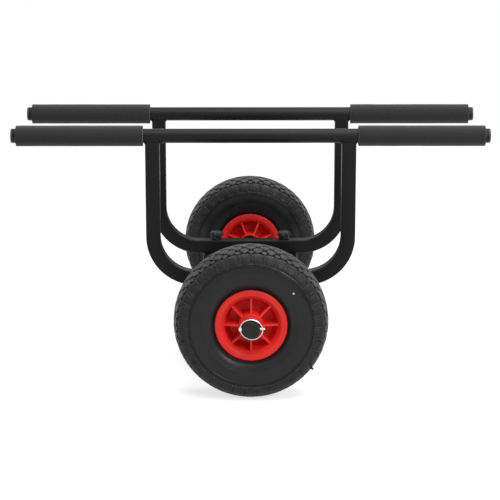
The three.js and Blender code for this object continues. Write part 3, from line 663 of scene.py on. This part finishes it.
def quarter_cell():
    """A quarter of the tread's repeat, as flat triangles with a depth at each corner."""
    points, depths, edges = [], [], []

    def add(u, w, depth):
        points.append(Vector((min(max(u, 0.0), half_pitch), max(w, 0.0))))
        depths.append(depth)
        return len(points) - 1

    def outline(closed_outline, depth_at):
        line, whole = within_cell(closed_outline)
        ids = [add(u, w, depth_at(w)) for u, w in line]
        edges.extend(zip(ids, ids[1:]))
        if whole:
            edges.append((ids[-1], ids[0]))

    for block in tread_blocks:
        for share, depth in block_crown:
            outline(block_outline(block, share), lambda w, drop=depth: drop)
        outline(block_outline(block, block_foot_share), floor_depth)
    for bar in shoulder_bars:
        outline(bar_outline(bar, -bar_edge), lambda w, top=bar[-1]: top)
        outline(bar_outline(bar, 0.0), lambda w, top=bar[-1]: top + bar_edge_drop)
        outline(bar_outline(bar, bar_edge), floor_depth)

    # A loose grid between the outlines, and a line along each side of the cell
    drawn = list(points)
    columns, rows = 4, 17
    for i in range(columns + 1):
        add(half_pitch * i / columns, tread_end, shoulder_depth)
    for j in range(rows):
        w = tread_end * j / rows
        shift = 0.5 if j % 2 else 0.0
        spots = {0.0, half_pitch} | {half_pitch * (i + shift) / columns for i in range(columns)}
        for u in sorted(spots):
            gap, top = nearest_relief(u, w)
            apart = min((Vector((u, w)) - spot).length for spot in drawn)
            if apart > grid_apart and not -grid_inside < gap < grid_outside:
                add(u, w, top if gap < 0 else floor_depth(w))
    for axis, ends_at in ((0, (0.0, half_pitch)), (1, (0.0, tread_end))):
        for end in ends_at:
            line = [k for k, point in enumerate(points) if abs(point[axis] - end) < on_line]
            line.sort(key=lambda k: points[k][1 - axis])
            edges.extend(zip(line, line[1:]))

    flat, _, faces, origins, _, _ = delaunay_2d_cdt(points, edges, [], 0, on_line)
    found = []
    for spot, sources in zip(flat, origins):
        near = sources or [min(range(len(points)), key=lambda k: (points[k] - spot).length)]
        found.append(depths[near[0]])
    return flat, found, faces


def tread_form(turn):
    flat, depths, faces = quarter_cell()
    parts = []
    for across in (1, -1):
        spots = [(p.x, *on_tyre(across * p.y, depth)) for p, depth in zip(flat, depths)]
        for cell in range(tread_pitches):
            for mirror in (1, -1):
                verts = []
                for u, y, radius in spots:
                    angle = tau * (cell + mirror * u / pitch) / tread_pitches + turn
                    verts.append(round_y(radius, angle, y))
                parts.append((verts, faces))
    return joined(*parts)


def carcass_form(turn):
    """Both side walls, the beads and the inside, from one edge of the tread to the other."""
    wall = [on_tyre(w, depth) for w, depth in wall_steps]
    bead = [(61.6, 31.2), (60.4, 30.75, 0.8), (53.6, 30.6, 1.5), (53.6, 22.4, 1.5), (60.5, 26.5, 3),
            (67.1, 31.2)]
    liner = [(76, 35.4), (88.6, 37.2), (101, 36.4), (112, 31.6), (118.6, 24), (121.8, 12), (122.4, 0)]
    half = [(radius, y) for y, radius in wall] + filleted(bead, 3, False) + liner
    loop = half + [(radius, -y) for radius, y in reversed(half[:-1])]
    return skin([ring_round_y(radius, y, 8 * tread_pitches, turn) for radius, y in loop], caps=False)


def vent_form(w, angle, thickness, reach):
    """A short rubber hair or nub left by the mould, thinner at its tip."""
    y, radius = on_tyre(w, vent_root)
    tip_y, tip_radius = on_tyre(w, -reach)
    root, tip = Vector(round_y(radius, angle, y)), Vector(round_y(tip_radius, angle, tip_y))
    turn = (tip - root).to_track_quat("Z", "Y").to_matrix().to_4x4()
    length = (tip - root).length
    steps = ((0.5, 0), (0.45, length - 0.4), (0.27, length))
    hair = [[(x, y, z) for x, y in circle(share * thickness, 8)] for share, z in steps]
    return placed(skin(hair), Matrix.Translation(root) @ turn)


def tyre_form(turn, sign):
    """The whole tyre, with three hairs on each shoulder and one nub towards its outer side."""
    vents = [vent_form(sign * nub_across, nub_angle + turn, nub_thickness, nub_reach)]
    for way in (-1, 1):
        for k in range(3):
            angle = hair_angle + tau * k / 3 + turn
            vents.append(vent_form(way * hair_across, angle, hair_thickness, hair_reach))
    return joined(tread_form(turn), carcass_form(turn), *vents)


# Rim

flange_radius = 61.0
rim_face = 35.5
boss_radius = 20.8
boss_end = 44.0
boss_bore = 18.3
rib_count = 8
rib_thickness = 3.4
rib_sunk = 1.4
valve_hole = 8.6


def rim_profile():
    """One closed profile of both halves: seat, flange, dish wall, web and boss."""
    half = [
        (46.0, 14.0, 3), (53.0, 20.0, 2), (53.0, 31.0, 1), (flange_radius, 31.0, 0.8),
        (flange_radius - 0.5, rim_face, 3.2), (50.9, rim_face, 4.6), (45.2, 29.0, 2.0), (39.4, 2.5, 4.5),
        (boss_radius + 0.6, 2.5, 3), (boss_radius, boss_end, 0.9), (boss_bore, boss_end, 0.5),
    ]
    other = [(r, -y, f) for r, y, f in reversed(half)]
    return filleted(half + other, 6)


def rib_form():
    root, end = boss_radius - rib_sunk, rim_face - 0.1
    outline = [(root, -end), (46.0, -29.2), (41.2, -2), (41.2, 2), (46.0, 29.2), (root, end)]
    plate = prism(outline, -rib_thickness / 2, rib_thickness / 2)
    return softened(plate, 0.75, 3, 20)


def rim_form(sign):
    rim = lathe(rim_profile(), 144)
    ribs = [turned(rib_form(), "Y", tau * k / rib_count) for k in range(rib_count)]
    rim = combined(rim, ribs, "UNION")
    hole = rod(valve_hole, boss_radius + 2, flange_radius)
    hole = turned(moved(hole, y=sign * valve_offset), "Y", valve_turn)
    return combined(rim, [hole], "DIFFERENCE")


# Valve, on a radial line between two ribs

valve_offset = -9.0
valve_turn = quarter_turn + pi / rib_count
valve_root = 46.3


def at_valve(form, sign):
    """A form round Y with its foot at zero, laid along the valve's radial line."""
    form = moved(upright(form), y=sign * valve_offset, z=valve_root)
    return turned(form, "Y", valve_turn)


def valve_stem_form():
    """A stem with a foot and a threaded top."""
    profile = [(0, 0), (4.0, 0, 0.5), (4.0, 9.4, 1.2), (2.6, 11.0, 0.3)]
    threads = []
    for k in range(11):
        y = 11.4 + 0.8 * k
        threads += [(2.6, y), (2.35, y + 0.4)]
    tip = [(2.6, 20.6, 0.3), (2.2, 21.0), (0, 21.0)]
    return lathe(filleted(profile, 3, False) + threads + filleted(tip, 3, False), 32)


def valve_cap_form():
    """A cap with fine ridges round its side, hollow to take the stem."""
    steps, ridges, ridge_height = 72, 18, 0.16
    profile = [(2.9, 11.3), (4.0, 11.3, 0.4), (4.0, 19.2, 0.3), (3.7, 20.3, 0.6), (2.4, 23.0, 0.8),
               (0.05, 23.4)]
    turns = [tau * k / steps for k in range(steps)]
    rings = []
    for radius, y in filleted(profile, 3, False):
        height = ridge_height if 11.6 < y < 19.4 and radius > 3 else 0
        rings.append([round_y(radius + height * cos(ridges * a), a, y) for a in turns])
    rings += [ring_round_y(radius, 21.4, steps) for radius in (0.05, 2.9)]
    return skin(rings, loop=True)


def inner_tube_form():
    half = [(47.0, 0), (47.0, 10, 4), (54.5, 18.5, 4), (60, 23.5, 6), (72, 32.5, 8), (88, 36.2, 12),
            (102, 35.2, 12), (113, 29, 8), (119.5, 17, 8), (121.6, 0)]
    loop = filleted(half, 4, False)
    return lathe(loop + [(r, -y) for r, y in reversed(loop[1:-1])], 96)


# Hub, axle and linch pins

def bush_form():
    """A plain bush with a flange at its outer end."""
    bore, out = axle_bore, clearance + 1.6
    profile = [(bore, -25, 0.4), (18.0, -25, 0.6), (18.0, clearance), (18.4, clearance, 0.1),
               (17.0, out, 0.5), (bore, out, 0.5)]
    return lathe(filleted(profile, 3), 96)


def ring_form(bore, outer, low, high, edge):
    corners = [(bore, low, edge), (outer, low, edge), (outer, high, edge), (bore, high, edge)]
    return lathe(filleted(corners, 4), 96)


def tube_form(outer, wall, half_length):
    return ring_form(outer - wall, outer, -half_length, half_length, 0.4)


def axle_cap_form():
    """A plug in the axle's end, with a rounded rim round a shallow dish."""
    profile = [(0, -14), (11.6, -14, 0.8), (11.9, 0), (14.9, 0, 0.2), (15, 2.9, 1.4), (9.4, 2.9, 0.5),
               (9.0, 2.45, 0.5), (0, 2.45)]
    return lathe(filleted(profile, 4, False), 96)


ring_radius = 18.5
wire_radius = 1.2
pin_hinge_x = -17.8
ring_lean = radians(13.6)
ring_rest = asin(3.75 / (2 * ring_radius))


def linch_pin_form(sign):
    """A pin along X with a pointed tip, and a square head with a slanting hole for the ring."""
    profile = [(0, -14.6), (2.25, -14.6, 0.3), (2.25, 20.6, 0.8), (1.15, 23.3, 0.8), (0, 23.4)]
    shaft = turned(lathe(filleted(profile, 4, False), 40), "Z", -quarter_turn)
    head = prism(rounded_square(5.3, 6, 0.6, 4), -3, 3)
    head = softened(moved(head, x=pin_hinge_x), 0.35, 3, 40)
    hole = turned(rod(3.4, -6, 6, 32), "X", -sign * ring_lean)
    return joined(shaft, combined(head, [moved(hole, x=pin_hinge_x)], "DIFFERENCE"))


def linch_ring_form(sign):
    """The spring ring: round wire below, pressed flatter and broader over its top."""
    rings = []
    steps, around = 120, 16
    for x, z in circle(1.0, steps):
        flat = max(z, 0) ** 1.4
        wide, thin = wire_radius * (1 + 0.5 * flat), wire_radius * (1 - 0.12 * flat)
        ring = []
        for level, side in circle(1.0, around):
            out = ring_radius + thin * level * (1 + 0.25 * flat)
            ring.append((ring_radius + out * x, wide * side, out * z))
        rings.append(ring)
    form = skin(rings, loop=True)
    form = turned(form, "Z", sign * ring_rest)
    form = turned(form, "X", -sign * ring_lean)
    return moved(form, x=pin_hinge_x)


# Welds

def bead_form(path, radius):
    """A weld bead along a path, in overlapping ripples, tapered at its ends."""
    rings = []
    ripple, gone = 2.4, 0.0
    total = sum((b - a).length for a, b in zip(path, path[1:]))
    for i, here in enumerate(path):
        ahead = path[min(i + 1, len(path) - 1)]
        back = path[max(i - 1, 0)]
        if i:
            gone += (here - path[i - 1]).length
        swell = 0.8 + 0.2 * abs(sin(pi * gone / ripple)) + 0.08 * noise.noise(here * 0.4)
        swell *= min(1.0, 0.35 + min(gone, total - gone) / radius)
        frame_turn = (ahead - back).to_track_quat("Z", "Y").to_matrix()
        rings.append([here + frame_turn @ Vector((x, y, 0)) for x, y in circle(radius * swell, 12)])
    return skin(rings)


def line_path(start, end):
    """Points on a line, about half a millimetre apart."""
    start, end = Vector(start), Vector(end)
    count = int((end - start).length / 0.5)
    return [start.lerp(end, k / count) for k in range(count + 1)]


# Base

slot_half_width = 4.3
slot_reach = 54.0
plate_thickness = 6.0
plate_eye_wall = 8.0


def rail_form():
    """A box tube along Y with two lengthwise slots, for the clamp bolts."""
    height = rail_high - rail_low
    rail = prism(rounded_square(rail_width, height, 3.2), -rail_end, rail_end)
    hollow = rounded_square(rail_width - 2 * rail_wall, height - 2 * rail_wall, 1.4)
    rail = combined(rail, [prism(hollow, -rail_end - 2, rail_end + 2)], "DIFFERENCE")
    outline = [(x, slot_reach + y) for x, y in arc(slot_half_width, 0, pi, 32)]
    outline += [(-x, -y) for x, y in outline]
    slots = [moved(prism(outline, -20, 20), y=sign * bar_y) for sign in (-1, 1)]
    return softened(combined(turned(rail, "X", quarter_turn), slots, "DIFFERENCE"), 0.35, 2, 50)


def rail_plug_form():
    """A plug for a rail's end: a rounded plate over a block that fits in the tube."""
    height = rail_high - rail_low
    plate = prism(rounded_square(rail_width, height, 3.2), 0, 3)
    plate = softened(plate, 1.0, 4, 60)
    block = prism(rounded_square(rail_width - 4.8, height - 4.8, 1.5), -12, 0.5)
    return turned(joined(plate, softened(block, 0.5, 2, 60)), "X", -quarter_turn)


def axle_plate_form():
    """A plate between the rails with an eye for the axle, and its welds on both faces."""
    half = rail_x - rail_width / 2
    low = rail_low - axle_height
    top = rail_high - 1 - axle_height
    radius = axle_diameter / 2 + plate_eye_wall
    dip = asin(-low / radius)
    outline = [(half, low), (half, top), (-half, top), (-half, low)]
    outline += arc(radius, pi + dip, tau - dip, 32)
    plate = prism(outline, -plate_thickness / 2, plate_thickness / 2)
    plate = combined(plate, [rod(2 * axle_bore, -6, 6, 96)], "DIFFERENCE")
    plate = upright(softened(plate, 0.5, 2, 50))
    beads = []
    for face in (-1, 1):
        y = face * (plate_thickness / 2 + 0.4)
        for end in (-1, 1):
            x = end * (half - 0.5)
            beads.append(bead_form(line_path((x, y, low + 2), (x, y, top - 2)), 1.9))
        around = arc(axle_bore + 0.3, radians(-80), radians(260), 85)
        beads.append(bead_form([Vector((x, y, z)) for x, z in around], 1.8))
    return joined(plate, *beads)


# Frames, bars and foam sleeves

leg_cut_radius = 12.8
saddle_reach = 13.3


def frame_form():
    """A square tube bent to a U, its legs cut to fit under the bar, with its welds."""
    leg_x = frame_half_width - square_tube / 2
    bend = bend_radius - square_tube / 2
    low = member_bottom + square_tube / 2
    corner = Vector((frame_half_width - bend_radius, member_bottom + bend_radius))
    top = bar_height - weld_drop

    # Places along the tube's middle line in X and Z, each with its way out of the U
    right = [(Vector((corner.x / 2, low)), Vector((0, -1)))]
    for out in arc(1.0, -quarter_turn, 0, 28):
        right.append((corner + Vector(out) * bend, Vector(out)))
    right += [(Vector((leg_x, z)), Vector((1, 0))) for z in (top - 12, top)]
    flip = Matrix.Diagonal((-1, 1))
    left = [(flip @ middle, flip @ out) for middle, out in reversed(right)]
    stations = left + [(Vector((0, low)), Vector((0, -1)))] + right

    def tube_skin(size, corner_radius):
        rings = []
        for i, (middle, out) in enumerate(stations):
            ring = []
            for n, y in rounded_square(size, size, corner_radius, 6):
                spot = middle + out * n
                z = spot.y
                if i in (0, len(stations) - 1):
                    z = min(top, bar_height - sqrt(max(leg_cut_radius ** 2 - y ** 2, 0)))
                ring.append((spot.x, y, z))
            rings.append(ring)
        return rings

    outer = tube_skin(square_tube, 2.6)
    inner = tube_skin(square_tube - 2 * square_wall, 1.0)
    tube = skin(outer + inner[::-1], loop=True)
    beads = []
    for end in (-1, 1):
        for face in (-1, 1):
            y = face * 11.7
            path = line_path((end * (leg_x - 12), y, top), (end * (leg_x + 12), y, top))
            beads.append(bead_form(path, 1.75))
            x = end * leg_x + face * (square_tube / 2 + 0.2)
            saddle = arc(saddle_reach, radians(-142), radians(-38), 44)
            beads.append(bead_form([Vector((x, y, bar_height + z)) for y, z in saddle], 1.5))
    return joined(tube, *beads)


def foam_form():
    """A foam sleeve round Y, with its ends cut square and rows of points that can be moved."""
    low, high = reach_of("foam_sleeve_front_left", 0)
    half = (high - low) / 2
    outer, bore = 18.25, bar_diameter / 2 + 0.1
    end = [(bore, half - 0.5), (bore + 0.7, half), (outer - 1.3, half), (outer - 0.35, half - 0.3),
           (outer, half - 1.2)]
    rows = 56
    first, last = 1.2 - half, half - 1.2
    side = [(outer, first + (last - first) * k / rows) for k in range(1, rows)]
    return lathe([(radius, -y) for radius, y in end] + side + end[::-1], 96)


def uneven(form, seed, low_radius, amount):
    """Moves the outer skin in and out a little, so that it looks cut and handled."""
    verts = []
    for v in form[0]:
        v = Vector(v)
        radius = hypot(v.x, v.z)
        if radius > low_radius:
            drift = noise.noise(Vector((v.x * 0.06, v.y * 0.03 + seed, v.z * 0.06)))
            fine = noise.noise(Vector((v.x * 0.35, v.y * 0.3 + seed, v.z * 0.35)))
            scale = 1 - amount * (0.5 - 0.38 * drift - 0.12 * fine) / radius
            v.x, v.z = v.x * scale, v.z * scale
        verts.append(v)
    return verts, form[1]


def bar_cap_form():
    """A plug in the bar's end, with a rounded rim round a shallow dish."""
    profile = [(0, -16), (10.4, -16, 0.8), (10.7, 0), (12.4, 0, 0.2), (12.5, 3.0, 1.7), (7.5, 3.0, 0.6),
               (7.1, 2.5, 0.5), (0, 2.5)]
    return lathe(filleted(profile, 5, False), 96)


# Clamp bolts and knobs

knob_lobes = 7
knob_radius = 13.25
knob_dip = 3.4
knob_dome = 6.6
knob_top = 13.4


def knob_form():
    """A star knob with seven round lobes, on a hub, standing on Z zero."""
    steps = knob_lobes * 16

    def star(share, z, depth_share=1.0):
        ring = []
        for k, (x, y) in enumerate(circle(1.0, steps)):
            dip = knob_dip * depth_share * (0.5 - 0.5 * cos(knob_lobes * tau * k / steps)) ** 0.85
            radius = (knob_radius - dip) * share
            ring.append((radius * x, radius * y, z))
        return ring

    def plain(rings):
        return [[(x, y, z) for x, y in circle(radius, steps)] for radius, z in rings]

    rings = plain([(4.6, 6.4), (4.6, 0.5), (5.1, 0.0), (9.0, 0.0), (9.5, 0.5), (9.5, 4.4)])
    rings += [star(0.78, 4.6, 0.6), star(0.93, 4.7)]
    rings += [star(1 - 0.07 * (1 - y), 5.8 - 1.1 * x) for x, y in arc(1.0, 0, quarter_turn, 4)]
    rise = knob_top - knob_dome
    rings += [star(0.55 + 0.45 * x, knob_dome + rise * y) for x, y in arc(1.0, 0, quarter_turn, 8)]
    rings += [star(0.50, knob_top - 0.3), star(0.46, knob_top - 1.3)]
    dish = [(4.6, knob_top - 1.5), (4.3, knob_top - 1.0), (3.8, knob_top - 0.7), (0.4, knob_top - 0.6)]
    return skin(rings + plain(dish))


def bolt_form():
    """A cup head under the rails, a square neck in the slot and a plain shank."""
    height, shank = bolt_high - bolt_low, bolt_diameter / 2
    dome = [(0, 0)] + [(8.8 * y, 3.0 * (1 - x)) for x, y in arc(1.0, 0, quarter_turn, 8)[1:]]
    rest = [(9.0, 3.2), (9.0, 4.2, 0.3), (shank, 4.2), (shank, height - 1, 0.2), (3.0, height), (0, height)]
    neck = softened(prism(rounded_square(bolt_diameter, bolt_diameter, 0.8, 3), 3.2, 9.2), 0.3, 2, 60)
    return joined(upright(lathe(dome + filleted(rest, 3, False), 64)), neck)


# Pieces

def make_wheel(side, sign):
    body = f"wheel_{side}"
    hub = (0.0, sign * wheel_y, axle_height)
    rim_turn = radians(22.5) if side == "left" else 0.0
    rubber = ("tyre", tyre_rubber(side))
    for kind, form, look, node, sharp in (
        ("tyre_treaded", tyre_form(-rim_turn, sign), rubber, "tyre", 32),
        ("rim_moulded", rim_form(sign), red, "wheel_rim", 30),
        ("tube_inflated", inner_tube_form(), tube_rubber, "inner_tube", 38),
        ("valve_threaded", at_valve(valve_stem_form(), sign), brass, "valve_stem", 38),
        ("valve_ridged_cap", at_valve(valve_cap_form(), sign), cap_plastic, "valve_cap", 38),
    ):
        piece(kind, side, turned(form, "Y", rim_turn), hub, body, look, node, sharp)
    for place, way in (("outer", sign), ("inner", -sign)):
        form = bush_form() if way > 0 else turned(bush_form(), "X", pi)
        at = (0.0, sign * wheel_y + way * boss_end, axle_height)
        piece("bush_moulded", f"{place}_{side}", form, at, body, red, "hub_bush")


def make_axle():
    middle = (0.0, 0.0, axle_height)
    tube = tube_form(axle_diameter / 2, axle_wall, axle_end)
    piece("axle_turned", None, tube, middle, "base", paint, "axle_tube")
    for side, sign in sides:
        cap = moved(axle_cap_form(), y=axle_end)
        collar = ring_form(axle_bore, 21, collar_low, collar_high, 0.6)
        washer = ring_form(axle_bore, 16.8, washer_low, washer_high, 0.4)
        for kind, form, look, node in (
            ("axle_end_cap", cap, axle_cap_plastic, "axle_cap"),
            ("collar_turned", collar, paint, "stop_collar"),
            ("washer_moulded", washer, cap_plastic, "axle_washer"),
        ):
            form = turned(form, "X", 0 if sign > 0 else pi)
            piece(kind, side, form, middle, "base", look, node)
        hinge = (0.0, sign * pin_y, axle_height)
        piece("linch_pin_plated", side, linch_pin_form(sign), hinge, "base", zinc, "linch_pin")
        piece("spring_ring", side, linch_ring_form(sign), hinge, f"ring_{side}", zinc, "linch_ring")


def make_base():
    middle = (rail_low + rail_high) / 2
    for end, way in ends:
        x = way * rail_x
        piece("rail_slotted", end, rail_form(), (x, 0, middle), "base", paint, "base_rail")
        for side, sign in sides:
            plug = rail_plug_form() if sign > 0 else turned(rail_plug_form(), "Z", pi)
            at = (x, sign * rail_end, middle)
            piece("rail_end_plug", f"{end}_{side}", plug, at, "base", cap_plastic, "rail_plug")
    for side, sign in sides:
        at = (0.0, sign * plate_y, axle_height)
        piece("axle_plate_welded", side, axle_plate_form(), at, "base", paint, "axle_plate")


def make_cradle(side, sign):
    body = f"cradle_{side}"
    y = sign * bar_y
    piece("frame_welded", side, frame_form(), (0, y, 0), body, paint, "bent_frame")
    bar = turned(tube_form(bar_diameter / 2, bar_wall, bar_tube_end), "Z", quarter_turn)
    piece("bar_tube", side, bar, (0, y, bar_height), body, tube_paint, "bar")
    for end, way in ends:
        place = f"{end}_{side}"
        sleeve = turned(uneven(foam_form(), 40 * way + 90 * sign, 16.8, 0.5), "Z", quarter_turn)
        at = (middle_of(f"foam_sleeve_{place}").x, y, bar_height)
        sleeve = piece("foam_grip", place, sleeve, at, body, foam, "foam_sleeve")
        cap = turned(bar_cap_form(), "Z", -way * quarter_turn)
        at = (way * bar_tube_end, y, bar_height)
        piece("bar_end_cap", place, cap, at, body, cap_plastic, "bar_cap")
        x = way * rail_x
        thickness = knob_washer_high - knob_washer_low
        washer = upright(ring_form(bolt_diameter / 2 + clearance, 8.5, 0, thickness, 0.3))
        piece("bolt_cup_head", place, bolt_form(), (x, y, bolt_low), body, dull_zinc, "clamp_bolt")
        piece("flat_washer", place, washer, (x, y, knob_washer_high), body, dull_zinc, "knob_washer")
        at = (x, y, knob_bottom)
        piece("knob_moulded", place, knob_form(), at, f"knob_{place}", knob_plastic, "star_knob")


make_axle()
make_base()
for side_name, side_sign in sides:
    make_cradle(side_name, side_sign)
    make_wheel(side_name, side_sign)


# Camera, floor and light

def make_camera():
    camera = bpy.data.cameras.new("camera")
    camera.lens = 130.42
    camera.sensor_width = 36.0
    obj = in_scene("camera", camera)
    obj.location = (-0.0103, -3.2454, 0.9346)
    obj.rotation_euler = (radians(76.92), 0, radians(-0.168))
    bpy.context.scene.camera = obj


def make_floor():
    """A pale round floor that the camera sees as white, apart from the cart's shadow."""
    edge = [(x, y, 0.0) for x, y in circle(2.3, 96)]
    mesh = bpy.data.meshes.new("floor")
    mesh.from_pydata(edge, [], [range(len(edge))])
    floor = in_scene("floor", mesh)
    floor.location.z = -0.0002
    finish = Finish("pale_floor", Roughness=0.9, Specular_IOR_Level=0.0)
    shade = finish.blend(finish.noise(0.8), (0.50, 0.50, 0.50), (0.52, 0.52, 0.52))
    finish.set(finish.shader, "Base Color", shade)
    strength = finish.product(finish.seen_directly(), 0.7)
    glow = finish.node("ShaderNodeEmission", 0, {"Strength": strength})
    both = finish.node("ShaderNodeAddShader", 0, {0: finish.shader.outputs[0], 1: glow})
    finish.set(finish.nodes["Material Output"], "Surface", both)
    mesh.materials.append(finish.material)


def make_world():
    """A white room all round, dimmer as a light than as it is seen."""
    world = bpy.data.worlds.new("studio")
    bpy.context.scene.world = world
    tree = Nodes(world)
    background = tree.nodes["Background"]
    tree.set(background, "Color", (1, 1, 1))
    tree.set(background, "Strength", tree.fade(tree.seen_directly(), 0.0, 1.0, 0.35, 1.0))


def make_lamp(name, place, aim, size, power):
    lamp = bpy.data.lights.new(name, "AREA")
    lamp.shape = "RECTANGLE"
    lamp.size, lamp.size_y = size
    lamp.energy = power
    obj = in_scene(name, lamp)
    obj.location = place
    obj.rotation_euler = (Vector(aim) - Vector(place)).to_track_quat("-Z", "Y").to_euler()


make_camera()
make_floor()
make_world()
make_lamp("top_softbox", (0.45, -0.5, 2.5), (0, 0, 0.2), (2.6, 2.2), 62)
make_lamp("right_softbox", (1.5, -2.45, 1.65), (0, -0.3, 0.15), (1.1, 0.65), 29)

bpy.context.scene.view_settings.view_transform = "Standard"
